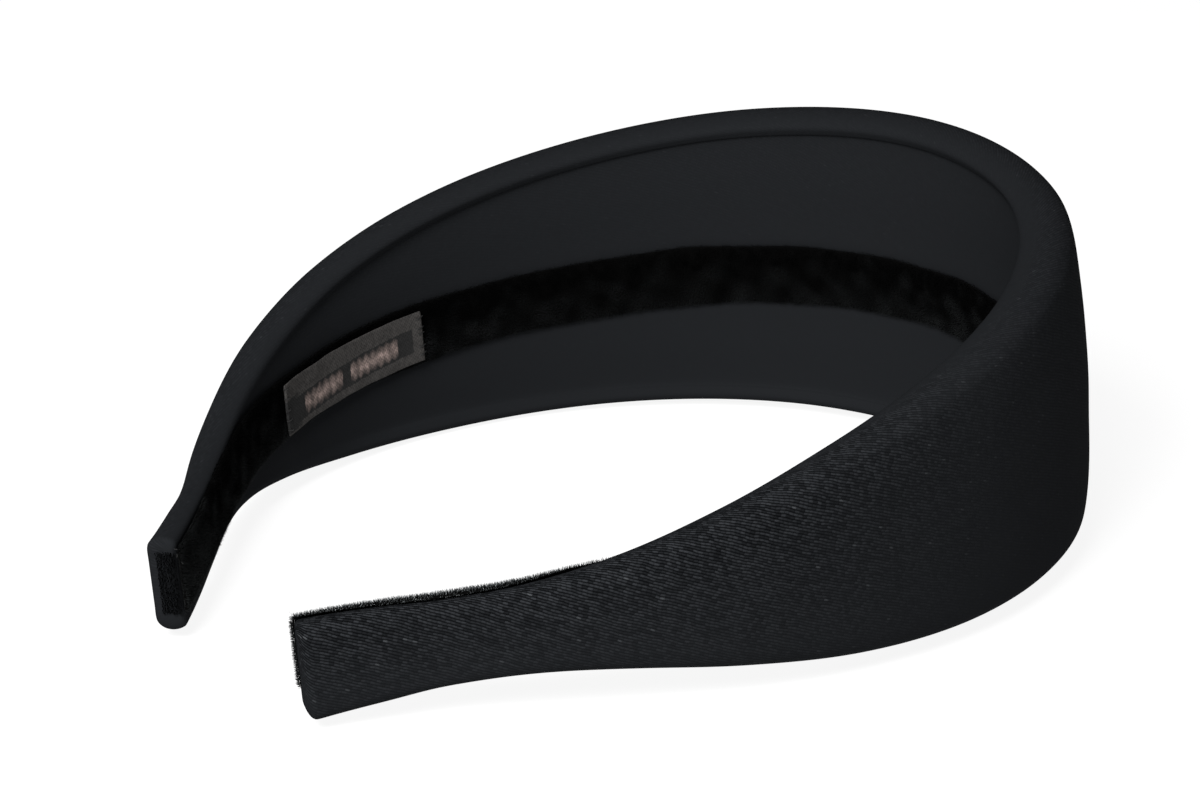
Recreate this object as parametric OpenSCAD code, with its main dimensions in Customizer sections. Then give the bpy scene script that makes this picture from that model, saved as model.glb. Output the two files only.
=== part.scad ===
// A wide padded headband, lying on its side as it rests by itself.
// The crown points to +X and the open end, between the two tips, to -X.
// The near arm is on the -Y side and the far arm, which carries the label, on the +Y side.
// The origin is the middle of the band's box, at the height of the surface that it lies on.

/* [Band] */
// Width of the band at the crown
crown_w = 57.5; // [45:0.5:70]
// Width of each arm at its narrowest place
neck_w = 14.9; // [12:0.1:20]
// Length of one arm along its inside, from the crown to the tip
arm_len = 201; // [180:0.5:215]
// Degrees that an arm turns from the crown to the tip, as the mean of the two
arm_turn = 119.4; // [108:0.1:124]
// Degrees that the far arm is bent in more than the mean, and the near arm less
arm_lean = 6.8; // [0:0.1:8]

/* [Padding] */
// Thickness of the band at the crown, at its rolled edges
crown_t = 8.3; // [6:0.1:11]
// Thickness of the band at the tips
tip_t = 4.3; // [3:0.1:5]
// How far the outside of the crown stands proud in the middle of its width
crown_bulge = 1.4; // [0:0.1:3]
// How far the rolled rims stand in past the inside face
rim_h = 0.7; // [0.2:0.1:1.2]
// Depth of the crease beside each rim
crease_d = 0.4; // [0:0.1:0.8]
// Distance of the crease from the band's edge at the crown
crease_in = 4.8; // [4:0.1:7]
// Rounding of the cut ends
end_r = 1.2; // [0.5:0.1:1.4]
// Rounding of the lower corner of each end, past that of the cut end
corner_low = 1.8; // [0.5:0.1:2.5]
// Rounding of the upper corner of each end, past that of the cut end
corner_up = 0.8; // [0.5:0.1:2.5]

/* [Velvet ribbon] */
// Width of the ribbon that covers the join on the inside
ribbon_w = 11; // [8:0.5:14]
// Thickness of the ribbon with its pile
ribbon_t = 0.8; // [0.5:0.1:1.5]
// How far the ribbon strays from the middle of the band, down at the crown and up at the tips
ribbon_stray = 1.8; // [0:0.1:3]
// Bare satin left beyond each end of the ribbon
ribbon_end = 0.4; // [0.2:0.1:3]

/* [Label] */
// Length of the woven label along the far arm
label_len = 38.5; // [20:0.5:50]
// Width of the label across the ribbon
label_w = 9.2; // [6:0.1:10]
// Thickness of the label with its folded ends
label_t = 0.4; // [0.3:0.1:0.8]
// Distance from the far tip to the near end of the label
label_in = 65; // [40:0.5:90]

/* [Fit] */
// Gap between two layers of cloth
layer_gap = 0.15; // [0.05:0.05:0.3]

/* [Hidden] */

// Columns of the rows below
AT = 0;       // share of arm_len, 0 at the crown and 1 at the tip
BEND = 1;     // curvature, as a share of an even bend
WIDE = 2;     // width, from 0 at neck_w to 1 at crown_w
THICK = 3;    // thickness, from 0 at tip_t to 1 at crown_t
RIM = 4;      // how far the rims and creases show
NEAR_STRAY = 5;   // the ribbon's place across the near arm, as a share of ribbon_stray
FAR_STRAY = 6;    // the same on the far arm
arm_rows = [
    [0.00,  1.72,  1.000, 1.00, 1.0, -1.00, -1.00],
    [0.15,  1.79,  0.940, 0.98, 1.0, -1.00, -1.00],
    [0.30,  1.32,  0.818, 0.91, 1.0, -0.92, -0.92],
    [0.45,  1.15,  0.656, 0.80, 1.0, -0.45, -0.45],
    [0.57,  1.09,  0.467, 0.67, 0.8,  0.00,  0.00],
    [0.67,  0.96,  0.254, 0.58, 0.3,  0.50,  0.30],
    [0.75,  0.84,  0.086, 0.40, 0.0,  1.07,  0.45],
    [0.82,  0.24, -0.012, 0.32, 0.0,  1.72,  0.50],
    [0.89, -0.14, -0.020, 0.02, 0.0,  1.95,  0.50],
    [0.94, -0.40,  0.006, 0.09, 0.0,  2.05,  0.50],
    [1.00, -0.83,  0.032, 0.16, 0.0,  1.97,  0.50],
];

NEAR = -1;
FAR = 1;
arm_steps = 46;                    // rings along each arm
fine = 240;                        // steps in which the arm's bend is added up
roll_out = 0.44;                   // how wide the rolled edge is to its outer side, as a share of the thickness
roll_in = 0.27;                    // the same to its inner side, where the rim is tighter
out_angles = [90, 60, 30, 0];
in_angles = [-30, -60, -90];
crease_share = 0.5;                // least distance of the crease from the edge, as a share of the thickness
face_shares = [0.34, 0.67];        // places on a flat of the section, as shares of its half width
end_angles = [0, 25, 45, 67];      // rings that round each end
strip_shares = [0.96, 0.87, 0.78, 0.69, 0.6, 0.5, 0.2, -0.3, -0.96];   // places across a strip, in its half widths
edge_depths = [0.35, 0.65];        // where a strip's edge stands, as shares of its thickness

// The value of one column at a share of the arm, on a smooth curve through the rows
function last_row() = len(arm_rows) - 1;
function row_at(u) = max([for (i = [0 : last_row() - 1]) if (arm_rows[i][AT] <= u) i]);
function row_slope(col, i) =
    i == 0 ? 0 :
    let (a = arm_rows[i - 1], b = arm_rows[min(i + 1, last_row())])
    (b[col] - a[col]) / (b[AT] - a[AT]);
function along(col, u) =
    let (i = row_at(u), a = arm_rows[i], b = arm_rows[i + 1], h = b[AT] - a[AT], s = (u - a[AT]) / h)
    (2 * s ^ 3 - 3 * s ^ 2 + 1) * a[col] + (s ^ 3 - 2 * s ^ 2 + s) * h * row_slope(col, i)
    + (3 * s ^ 2 - 2 * s ^ 3) * b[col] + (s ^ 3 - s ^ 2) * h * row_slope(col, i + 1);

function width(u) = neck_w + (crown_w - neck_w) * along(WIDE, u);
function thickness(u) = tip_t + (crown_t - tip_t) * along(THICK, u);

// Running sum of a list of numbers or of points
function running(v, start) = [for (i = 0, s = start; i <= len(v); s = s + (i < len(v) ? v[i] : start), i = i + 1) s];

// The bend adds up to the arm's heading, and the heading to its path
bends = [for (i = [0 : fine - 1]) along(BEND, (i + 0.5) / fine)];
turned = running(bends, 0);
function heading(side, i) = arm_turn * turned[i] / turned[fine] + side * arm_lean * (i / fine) ^ 2;
function strides(side) = [
    for (i = [0 : fine - 1])
        let (a = (heading(side, i) + heading(side, i + 1)) / 2) [-sin(a), cos(a)] * arm_len / fine
];
near_path = running(strides(NEAR), [0, 0]);
far_path = running(strides(FAR), [0, 0]);

// A point of the band before it is laid down: n is outwards from the inside face, z across the width
function stand(side, u, n, z) =
    let (
        path = side == NEAR ? near_path : far_path,
        i = min(floor(u * fine), fine - 1), f = u * fine - i,
        a = heading(side, i) * (1 - f) + heading(side, i + 1) * f,
        p = path[i] * (1 - f) + path[i + 1] * f
    )
    [p.x + n * cos(a), side * (p.y + n * sin(a)), z];

// The band lies on three places: the lower edge of the crown and the lower corner of each tip
function unit(v) = v / norm(v);
function low_point(side, u) = stand(side, u, thickness(u) / 2, -width(u) / 2);
round_len = max(end_r, corner_low, corner_up);
end_u = 1 - round_len / arm_len;
near_foot = low_point(NEAR, end_u);
far_foot = low_point(FAR, end_u);
crown_foot = low_point(FAR, 0);
lay_z = unit(cross(near_foot - crown_foot, far_foot - crown_foot));
rest_z = lay_z.z > 0 ? lay_z : -lay_z;
rest_x = unit([rest_z.z, 0, -rest_z.x]);
rest_y = cross(rest_z, rest_x);
function tilt(p) = [p * rest_x, p * rest_y, p * rest_z];

// Half of the band's section, from the middle of the outside over the rolled edge to the middle of the inside
function half_section(w, t, bulge, rim, crease, crease_at) =
    let (
        far = w / 2 - roll_out * t, close = w / 2 - roll_in * t, mid = (t - rim) / 2, high = (t + rim) / 2,
        face = w / 2 - crease_at
    )
    concat(
        [[t + bulge, 0]],
        [for (f = face_shares) [t + bulge * (1 - f ^ 2), f * far]],
        [for (a = out_angles) [mid + high * sin(a), far + roll_out * t * cos(a)]],
        [for (a = in_angles) [mid + high * sin(a), close + roll_in * t * cos(a)]],
        [[(crease - rim) / 2, (close + face) / 2], [crease, face]],
        [[0, face_shares[1] * face], [0, face_shares[0] * face], [0, 0]]
    );
function both_halves(half) =
    concat(half, [for (i = [len(half) - 2 : -1 : 1]) [half[i].x, -half[i].y]]);

// How much a rounding of radius r takes away at the distance d from the end
function cut(r, d) = d >= r ? 0 : r - sqrt(r ^ 2 - (r - d) ^ 2);

// The cover's section at a share of the arm: it is drawn in and its corners are cut close to the end
function cover_section(u) =
    let (
        d = (1 - u) * arm_len, inset = cut(end_r, d), low = cut(corner_low, d), up = cut(corner_up, d),
        w = width(u) - 2 * inset, t = thickness(u) - 2 * inset, show = along(RIM, u),
        crease_at = max(crease_in * thickness(u) / crown_t, crease_share * t)
    )
    [for (p = both_halves(half_section(w, t, crown_bulge * (1 - u), rim_h * show, crease_d * show, crease_at)))
        [p.x + inset, p.y * (1 - (low + up) / w) + (low - up) / 2]];

// Every ring is one side and one share of the arm
end_stops = [for (a = end_angles) 1 - round_len * (1 - cos(a)) / arm_len];
arm_stops = [for (i = [arm_steps : -1 : 1]) end_u * i / arm_steps];
half_stops = concat(end_stops, arm_stops);
cover_stops = concat(
    [for (u = half_stops) [NEAR, u]],
    [[FAR, 0]],
    [for (i = [len(half_stops) - 1 : -1 : 0]) [FAR, half_stops[i]]]
);
cover_rings = [for (s = cover_stops) [for (p = cover_section(s[1])) tilt(stand(s[0], s[1], p.x, p.y))]];

// The middle of the band's box goes to the origin, and its lowest point to the surface
cover_points = [for (r = cover_rings) each r];
function middle(axis) = (min([for (p = cover_points) p[axis]]) + max([for (p = cover_points) p[axis]])) / 2;
lay_at = [middle(0), middle(1), min([for (p = cover_points) p.z])];
function laid(side, u, n, z) = tilt(stand(side, u, n, z)) - lay_at;

// The face at the end of a skin: for a strip, triangles between each point of its front and the one behind it
function end_faces(m, paired) =
    !paired ? [[for (j = [0 : m - 1]) j]] :
    [for (i = [0 : m / 2 - 2]) each [[i, i + 1, m - 1 - i], [i + 1, m - 2 - i, m - 1 - i]]];

// A closed skin through rings of as many points each
module skin(rings, paired = false) {
    m = len(rings[0]);
    last = len(rings) - 1;
    ends = end_faces(m, paired);
    polyhedron(
        points = [for (r = rings) each r],
        faces = concat(
            [for (f = ends) [for (j = [len(f) - 1 : -1 : 0]) f[j]]],
            [for (f = ends) [for (j = f) last * m + j]],
            [for (i = [0 : last - 1], j = [0 : m - 1]) let (k = (j + 1) % m)
                each [[i * m + j, i * m + k, (i + 1) * m + j], [i * m + k, (i + 1) * m + k, (i + 1) * m + j]]]
        )
    );
}

// A place over the inside face: y is the way across, which goes on over the rolled edge, and lift the height over it.
// Cloth turns one gap later than the cover does, so that its flat facets keep clear of the rolled edge.
function over_face(u, y, lift) =
    let (
        t = thickness(u), roll = roll_in * t, face = width(u) / 2 - roll + layer_gap, bend = (t / 2 + roll) / 2,
        a = max(abs(y) - face, 0) / bend * 180 / PI
    )
    [t / 2 * (1 - cos(a)) - lift * cos(a), sign(y) * (min(abs(y), face) + (roll + lift) * sin(a))];

// The section of a strip of cloth over the inside face, with rounded long edges; middle is its place across
function strip_section(u, middle, w, low, t) =
    let (
        front = [for (f = strip_shares) [f, low + t]],
        back = [for (i = [len(strip_shares) - 1 : -1 : 0]) [strip_shares[i], low]],
        edges = [for (f = edge_depths) low + f * t],
        turn = concat([[1, edges[1]]], front, [[-1, edges[1]], [-1, edges[0]]], back, [[1, edges[0]]])
    )
    [for (p = turn) over_face(u, middle + p[0] * w / 2, p[1])];
function ribbon_middle(side, u) = ribbon_stray * along(side == NEAR ? NEAR_STRAY : FAR_STRAY, u);
label_low = 2 * layer_gap + ribbon_t;

// Padded satin cover with rolled rims, one closed pad from tip to tip
module padded_cover() {
    color([0.13, 0.14, 0.16])
    skin([for (r = cover_rings) [for (p = r) p - lay_at]]);
}

// Velvet ribbon from tip to tip over the join of the cover; on the near arm it strays up over the rolled edge
module velvet_ribbon() {
    end = 1 - ribbon_end / arm_len;
    color([0.03, 0.03, 0.04])
    skin([
        for (i = [-arm_steps : arm_steps])
            let (side = i < 0 ? NEAR : FAR, u = end * abs(i) / arm_steps)
            [for (p = strip_section(u, ribbon_middle(side, u), ribbon_w, layer_gap, ribbon_t)) laid(side, u, p.x, p.y)]
    ], paired = true);
}

// Woven label, without words, sewn over the ribbon near the far tip
module label() {
    label_steps = 16;
    start = 1 - (label_in + label_len) / arm_len;
    color([0.24, 0.21, 0.21])
    skin([
        for (i = [0 : label_steps])
            let (u = start + label_len / arm_len * i / label_steps)
            [for (p = strip_section(u, ribbon_middle(FAR, u), label_w, label_low, label_t)) laid(FAR, u, p.x, p.y)]
    ], paired = true);
}

padded_cover();
velvet_ribbon();
label();
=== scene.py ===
# %% [markdown]
# # A padded satin headband, lying on its side
# The band is one padded arch: foam on a springy former, wrapped in black satin from tip to tip. A strip
# of velvet ribbon covers the join on the inside, and a small woven label is sewn over the ribbon. The
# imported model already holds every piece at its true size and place. This lesson keeps those places and
# gives each piece its real surface: a skin drawn tight by its padding, a pile, a weave and a few threads.

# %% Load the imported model
import math

import bmesh
import bpy
import numpy as np
from mathutils import Matrix, Vector


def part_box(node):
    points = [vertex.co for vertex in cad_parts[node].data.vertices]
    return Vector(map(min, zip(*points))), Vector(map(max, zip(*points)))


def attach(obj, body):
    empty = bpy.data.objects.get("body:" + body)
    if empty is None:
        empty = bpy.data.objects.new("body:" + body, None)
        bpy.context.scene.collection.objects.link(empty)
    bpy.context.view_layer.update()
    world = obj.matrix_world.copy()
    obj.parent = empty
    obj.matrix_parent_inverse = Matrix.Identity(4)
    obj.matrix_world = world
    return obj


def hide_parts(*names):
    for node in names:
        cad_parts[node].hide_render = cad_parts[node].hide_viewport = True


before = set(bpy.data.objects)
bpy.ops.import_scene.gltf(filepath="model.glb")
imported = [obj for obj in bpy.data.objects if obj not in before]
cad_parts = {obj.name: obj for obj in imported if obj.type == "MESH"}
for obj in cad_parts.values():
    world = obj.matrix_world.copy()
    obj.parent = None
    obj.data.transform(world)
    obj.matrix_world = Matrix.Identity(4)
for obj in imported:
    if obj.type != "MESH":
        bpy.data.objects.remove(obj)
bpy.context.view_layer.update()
print("packed pieces:", sorted(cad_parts))

# %% [markdown]
# The camera comes first, because every later choice is judged through it. It looks at the band from a low
# angle above the near arm, through a long lens, so the two arms keep nearly the same scale. A camera
# could be aimed with a constraint, but the export leaves constraints behind. Its three axes are worked
# out here instead: backwards from two angles, sideways level with the floor, and then a slight roll.

# %% Camera
MM = 0.001
view_turn = math.radians(-43.1)
view_rise = math.radians(19.24)
view_roll = math.radians(1.3)
view_far = 749 * MM
view_lens = 139.5
view_aim = Vector((-1.66, 0.19, 26.15)) * MM


def in_scene(name, data):
    """A new object with its data, linked to the scene."""
    thing = bpy.data.objects.new(name, data)
    bpy.context.collection.objects.link(thing)
    return thing


def axes_matrix(side, over, back, place):
    """A matrix whose columns are three axes and a place."""
    turned = Matrix((side, over, back)).transposed().to_4x4()
    return Matrix.Translation(place) @ turned


camera_data = bpy.data.cameras.new("camera")
camera_data.lens = view_lens
camera_data.sensor_width = 36
camera_data.clip_start = 0.01
camera = in_scene("camera", camera_data)
sine, cosine = math.sin(view_rise), math.cos(view_rise)
back = Vector((math.sin(view_turn) * cosine, -math.cos(view_turn) * cosine, sine))
level = (-back).cross(Vector((0, 0, 1))).normalized()
side = math.cos(view_roll) * level + math.sin(view_roll) * level.cross(-back)
over = math.cos(view_roll) * level.cross(-back) - math.sin(view_roll) * level
camera.matrix_world = axes_matrix(side, over, back, view_aim + back * view_far)
bpy.context.scene.camera = camera
print("camera at", [round(v, 3) for v in camera.matrix_world.translation])

# %% [markdown]
# The band lies on a plain pale surface, and one wide soft light stands to the left of the camera and
# above it. Black cloth shows its shape by how much light each part catches. A bright sky all round would
# mirror in the satin as a grey veil, so the sky is nearly dark. The floor glows by itself, like a light
# table: it stays white and its shadows stay faint, while the satin can be as dark as black cloth is.

# %% Floor and lights
floor_size = 6.0
floor_grey = 0.14
floor_glow = 0.90
sky_strength = 0.10
lit_point = Vector((0, 0, 0.03))

# The place and width of each light in metres, and its power in watts
soft_lights = {
    "key_light": ((-0.66, -0.30, 0.65), 0.40, 19),
    "top_light": ((0.05, 0.10, 0.80), 0.60, 0.6),
}


def soft_light(name, place, size, power):
    """A square area light at a place, turned to face the band."""
    data = bpy.data.lights.new(name, "AREA")
    data.size = size
    data.energy = power
    light = in_scene(name, data)
    back = (Vector(place) - lit_point).normalized()
    side = Vector((0, 1, 0)).cross(back).normalized()
    light.matrix_world = axes_matrix(side, back.cross(side), back, Vector(place))


def grey(value):
    """A colour with the same value in all three parts."""
    return (value, value, value, 1)


def finish_named(name, **values):
    """A new material, its tree and its shader, with the shader's plain values set."""
    material = bpy.data.materials.new(name)
    material.use_nodes = True
    tree = material.node_tree
    shader = tree.nodes["Principled BSDF"]
    for key, value in values.items():
        shader.inputs[key.replace("_", " ")].default_value = value
    return material, tree, shader


for light_name, settings in soft_lights.items():
    soft_light(light_name, *settings)

world = bpy.data.worlds.new("studio")
world.use_nodes = True
sky = world.node_tree.nodes["Background"].inputs
sky["Color"].default_value = (1, 1, 1, 1)
sky["Strength"].default_value = sky_strength
bpy.context.scene.world = world
bpy.context.scene.view_settings.view_transform = "Standard"

floor_mesh = bpy.data.meshes.new("floor")
half = floor_size / 2
floor_corners = [(-half, -half, 0), (half, -half, 0), (half, half, 0), (-half, half, 0)]
floor_mesh.from_pydata(floor_corners, [], [(0, 1, 2, 3)])
floor = in_scene("floor", floor_mesh)
floor_look = dict(Base_Color=grey(floor_grey), Roughness=1.0, Specular_IOR_Level=0.0)
floor_look |= dict(Emission_Color=grey(1), Emission_Strength=floor_glow)
floor_mesh.materials.append(finish_named("floor_paint", **floor_look)[0])
print("lights:", list(soft_lights))

# %% [markdown]
# Everything on the band follows one line: the inside face of the arch, from the near tip over the crown
# to the far tip. A place on the band is given by three numbers: the distance s along that line, the
# distance n outwards from it, and the distance z across the width. The line bends most beside the crown
# and turns slightly back at the tips, as a springy former does, so its bend comes from a short table of
# shares, and so does all else that changes along an arm.

# %% The line of the band
arm_length = 201 * MM
arm_turn = math.radians(119.4)
arm_lean = math.radians(6.8)
crown_width = 57.5 * MM
neck_width = 14.9 * MM
crown_thick = 8.3 * MM
tip_thick = 4.3 * MM
ribbon_stray = 1.8 * MM

# Columns: share of the arm, bend as a share of an even one, width from 0 at the neck to 1 at the crown,
# thickness from 0 at the tip to 1 at the crown, how far the rims show, and the ribbon's place on each arm
AT, BEND, WIDE, THICK, RIM, NEAR_STRAY, FAR_STRAY = range(7)
arm_rows = np.array([
    [0.00, 1.72, 1.000, 1.00, 1.0, -1.00, -1.00],
    [0.15, 1.79, 0.940, 0.98, 1.0, -1.00, -1.00],
    [0.30, 1.32, 0.818, 0.91, 1.0, -0.92, -0.92],
    [0.45, 1.15, 0.656, 0.80, 1.0, -0.45, -0.45],
    [0.57, 1.09, 0.467, 0.67, 0.8, 0.00, 0.00],
    [0.67, 0.96, 0.254, 0.58, 0.3, 0.50, 0.30],
    [0.75, 0.84, 0.086, 0.40, 0.0, 1.07, 0.45],
    [0.82, 0.24, -0.012, 0.32, 0.0, 1.72, 0.50],
    [0.89, -0.14, -0.020, 0.02, 0.0, 1.95, 0.50],
    [0.94, -0.40, 0.006, 0.09, 0.0, 2.05, 0.50],
    [1.00, -0.83, 0.032, 0.16, 0.0, 1.97, 0.50],
])


def along(column, s):
    """The value of a column at the distance s from the crown.

    Between two rows it is the cubic whose slope at each row is that of the line through the rows beside it.
    """
    at, value = arm_rows[:, AT], arm_rows[:, column]
    slope = np.zeros(len(at))
    slope[1:-1] = (value[2:] - value[:-2]) / (at[2:] - at[:-2])
    slope[-1] = (value[-1] - value[-2]) / (at[-1] - at[-2])
    share = np.abs(np.asarray(s, float)) / arm_length
    i = np.clip(np.searchsorted(at, share, side="right") - 1, 0, len(at) - 2)
    gap = at[i + 1] - at[i]
    f = (share - at[i]) / gap
    return (
        (2 * f**3 - 3 * f**2 + 1) * value[i]
        + (f**3 - 2 * f**2 + f) * gap * slope[i]
        + (3 * f**2 - 2 * f**3) * value[i + 1]
        + (f**3 - f**2) * gap * slope[i + 1]
    )


def band_width(s):
    """Width of the band, from the neck's to the crown's by the table's shares."""
    return neck_width + (crown_width - neck_width) * along(WIDE, s)


def band_thickness(s):
    """Thickness of the band, from the tip's to the crown's by the table's shares."""
    return tip_thick + (crown_thick - tip_thick) * along(THICK, s)


widths = [round(float(band_width(s)) / MM, 1) for s in (0, 150 * MM, arm_length)]
print("width at the crown, at 150 mm and at a tip:", widths)

# %% Add up the bend
bend_steps = 240
shares = np.arange(bend_steps + 1) / bend_steps
turned = np.concatenate([[0], np.cumsum(along(BEND, (shares[:-1] + 0.5 / bend_steps) * arm_length))])


def arm_line(side):
    """Headings and places along one arm.

    The heading is the share of the bend that has been passed times the arm's whole turn, and the far arm
    leans in by the square of the distance. The place adds up the strides between neighbouring headings.
    """
    heading = arm_turn * turned / turned[-1] + side * arm_lean * shares**2
    between = (heading[1:] + heading[:-1]) / 2
    strides = np.stack([-np.sin(between), side * np.cos(between)], 1) * arm_length / bend_steps
    return heading, np.concatenate([[[0, 0]], np.cumsum(strides, 0)])


near_heading, near_places = arm_line(-1)
far_heading, far_places = arm_line(1)
line_s = np.concatenate([-shares[::-1], shares[1:]]) * arm_length
line_xy = np.concatenate([near_places[::-1], far_places[1:]])
line_turn = np.concatenate([-near_heading[::-1], far_heading[1:]])


def standing(s, n, z):
    """A place before the band is laid down: the line's place, n outwards along its normal, z upwards."""
    s, n, z = np.broadcast_arrays(*(np.asarray(v, float) for v in (s, n, z)))
    turn = np.interp(s, line_s, line_turn)
    x = np.interp(s, line_s, line_xy[:, 0]) + n * np.cos(turn)
    y = np.interp(s, line_s, line_xy[:, 1]) + n * np.sin(turn)
    return np.stack([x, y, z], -1)


print("inside width in mm:", round(float(np.ptp(line_xy[:, 1])) / MM, 1))

# %% [markdown]
# By itself the band lies on three places: the lower edge of the crown and the lower corner of each tip.
# The crown is four times as wide as the tips, so the band leans. The plane through the three places gives
# the lean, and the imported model's own box then says where the band lies, so that this surface can't drift
# from the solids.

# %% Lay the band down
end_round = 1.2 * MM
corner_low = 1.8 * MM
corner_up = 0.8 * MM
round_length = max(end_round, corner_low, corner_up)


def unit(v):
    """A vector, or each row of vectors, made one long."""
    return v / np.linalg.norm(v, axis=-1, keepdims=True)


def foot(s):
    """The middle of the lower edge at s."""
    return standing(s, band_thickness(s) / 2, -band_width(s) / 2)


tip_s = arm_length - round_length
crown_foot = foot(0)
upwards = unit(np.cross(foot(tip_s) - crown_foot, foot(-tip_s) - crown_foot))
upwards = upwards * np.sign(upwards[2])
forwards = unit(np.array([upwards[2], 0, -upwards[0]]))
lean = np.stack([forwards, np.cross(upwards, forwards), upwards])
laid_shift = np.zeros(3)


def laid(s, n, z):
    """A place of the band as it lies: the standing place turned by the lean and moved to the solids."""
    return standing(s, n, z) @ lean.T + laid_shift


print("lean in degrees:", round(math.degrees(math.acos(upwards[2])), 2))

# %% [markdown]
# The padded cover is foam under a skin of satin. Across the band it is a flat inside face, a rolled edge,
# and a gently crowned outside. The skin is drawn over the former's edge, which leaves a soft rim and
# beside it a shallow crease. At a tip the section is drawn in and its corners are cut round. A cube could
# be bevelled and bent to this shape, but a section that is carried along the line keeps the threads of
# the cloth running true from tip to tip, and the weave later depends on that.

# %% The section of the cover
crown_bulge = 1.4 * MM
rim_height = 0.7 * MM
crease_depth = 0.4 * MM
crease_inset = 4.8 * MM
crease_share = 0.5
roll_out = 0.44
roll_in = 0.27
out_angles = np.radians([90, 60, 30, 0])
in_angles = np.radians([-30, -60, -90])
flat_shares = np.array([0.34, 0.67])


def cut(radius, s):
    """What a rounding takes away at s: radius - sqrt(radius^2 - (radius - d)^2), d from the tip."""
    left = np.maximum(radius - (arm_length - np.abs(s)), 0)
    return radius - np.sqrt(radius**2 - left**2)


def half_section(s):
    """Half of the section at each s, as (n, z) pairs from the outside's middle to the inside's middle.

    The outside is a parabola over the flat, the rolled edge is a wide ellipse on the outer side and a narrow
    one on the inner side, and the inside has a rim, a crease and a flat.
    """
    inset = cut(end_round, s)
    w = band_width(s) - 2 * inset
    t = band_thickness(s) - 2 * inset
    show = along(RIM, s)
    bulge = crown_bulge * (1 - np.abs(s) / arm_length)
    rim, crease = rim_height * show, crease_depth * show
    middle, high = (t - rim) / 2, (t + rim) / 2
    flat, close = w / 2 - roll_out * t, w / 2 - roll_in * t
    face = w / 2 - np.maximum(crease_inset * band_thickness(s) / crown_thick, crease_share * t)
    pairs = [(t + bulge, 0 * t)]
    pairs += [(t + bulge * (1 - f**2), f * flat) for f in flat_shares]
    pairs += [(middle + high * np.sin(a), flat + roll_out * t * np.cos(a)) for a in out_angles]
    pairs += [(middle + high * np.sin(a), close + roll_in * t * np.cos(a)) for a in in_angles]
    pairs += [((crease - rim) / 2, (close + face) / 2), (crease, face)]
    pairs += [(0 * t, f * face) for f in flat_shares[::-1]]
    pairs += [(0 * t, 0 * t)]
    return np.stack([np.stack(p, -1) for p in pairs], -2) + np.stack([inset, 0 * inset], -1)[:, None]


def cut_corners(s, z):
    """Places across where the ends' corners are cut: z is drawn together to the width that is left."""
    low, up = cut(corner_low, s), cut(corner_up, s)
    width = band_width(s) - 2 * cut(end_round, s)
    return z * (1 - (low + up) / width)[:, None] + ((low - up) / 2)[:, None]


def smooth_loop(half, parts):
    """Closes half sections into loops and rounds them.

    Each stretch between two points is a cubic through both with the slope of its neighbours, cut into equal
    parts. The loop starts at the middle of the inside, goes over the upper edge and back over the lower.
    """
    upper = half[:, ::-1]
    lower = (half * np.array([1, -1]))[:, 1:-1]
    loop = np.concatenate([upper, lower], 1)
    before, after, next_but_one = (np.roll(loop, k, 1)[:, :, None] for k in (1, -1, -2))
    here = loop[:, :, None]
    f = (np.arange(parts) / parts)[:, None]
    rounded = (
        2 * here + (after - before) * f + (2 * before - 5 * here + 4 * after - next_but_one) * f**2
        + (3 * here - before - 3 * after + next_but_one) * f**3
    ) / 2
    return rounded.reshape(len(loop), -1, 2)


# %% Rings of the cover
ring_gap = 1.7 * MM
loop_parts = 3
end_angles = np.radians([0, 22, 45, 67])

ring_count = int(2 * tip_s / ring_gap) // 2 * 2 + 1
end_s = arm_length - round_length * (1 - np.cos(end_angles))
ring_s = np.concatenate([-end_s, np.linspace(-tip_s, tip_s, ring_count), end_s[::-1]])
cover_loop = smooth_loop(half_section(ring_s), loop_parts)
cover_loop[..., 1] = cut_corners(ring_s, cover_loop[..., 1])
cover_grid = laid(ring_s[:, None], cover_loop[..., 0], cover_loop[..., 1])

solid_low, solid_high = (np.array(v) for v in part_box("padded_cover"))
grid_low, grid_high = cover_grid.min((0, 1)), cover_grid.max((0, 1))
laid_shift = (solid_low + solid_high - grid_low - grid_high) / 2
laid_shift[2] = solid_low[2] - grid_low[2]
cover_grid = cover_grid + laid_shift
oversize = grid_high - grid_low - solid_high + solid_low
print("cover:", cover_grid.shape[:2], "size less the solid's in mm:", np.round(oversize / MM, 2))

# %% [markdown]
# A shape that is worked out as an array becomes a mesh in one stroke: the points go in with foreach_set,
# and every face is a row of point numbers. A ring grid has the same pattern of faces wherever it is used,
# so one helper makes its faces, one closes its ends, and one makes the smooth mesh and its map.

# %% From arrays to meshes
rng = np.random.default_rng(7)


def ring_quads(rings, around):
    """Four-sided faces between closed rings that follow each other, all with as many points."""
    i, j = np.meshgrid(np.arange(rings - 1), np.arange(around), indexing="ij")
    k = (j + 1) % around
    quads = np.stack([i * around + j, i * around + k, (i + 1) * around + k, (i + 1) * around + j], -1)
    return quads.reshape(-1, 4)


def end_cap(first, around):
    """Faces that close a flat ring by joining each point of one long side to the one across from it.

    Point 0 is the middle of one long side and point around / 2 the middle of the other, so j lies across
    from around / 2 - j. At each narrow end one point is left between two, which makes a triangle.
    """
    half = around // 2
    j = np.arange(half // 2 - 1)
    quads = np.stack([j, j + 1, half - 1 - j, half - j], -1)
    triangles = np.array([[half // 2 - 1, half // 2, half // 2 + 1]])
    return [np.concatenate([f, (around - f[:, ::-1]) % around]) + first for f in (quads, triangles)]


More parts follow.
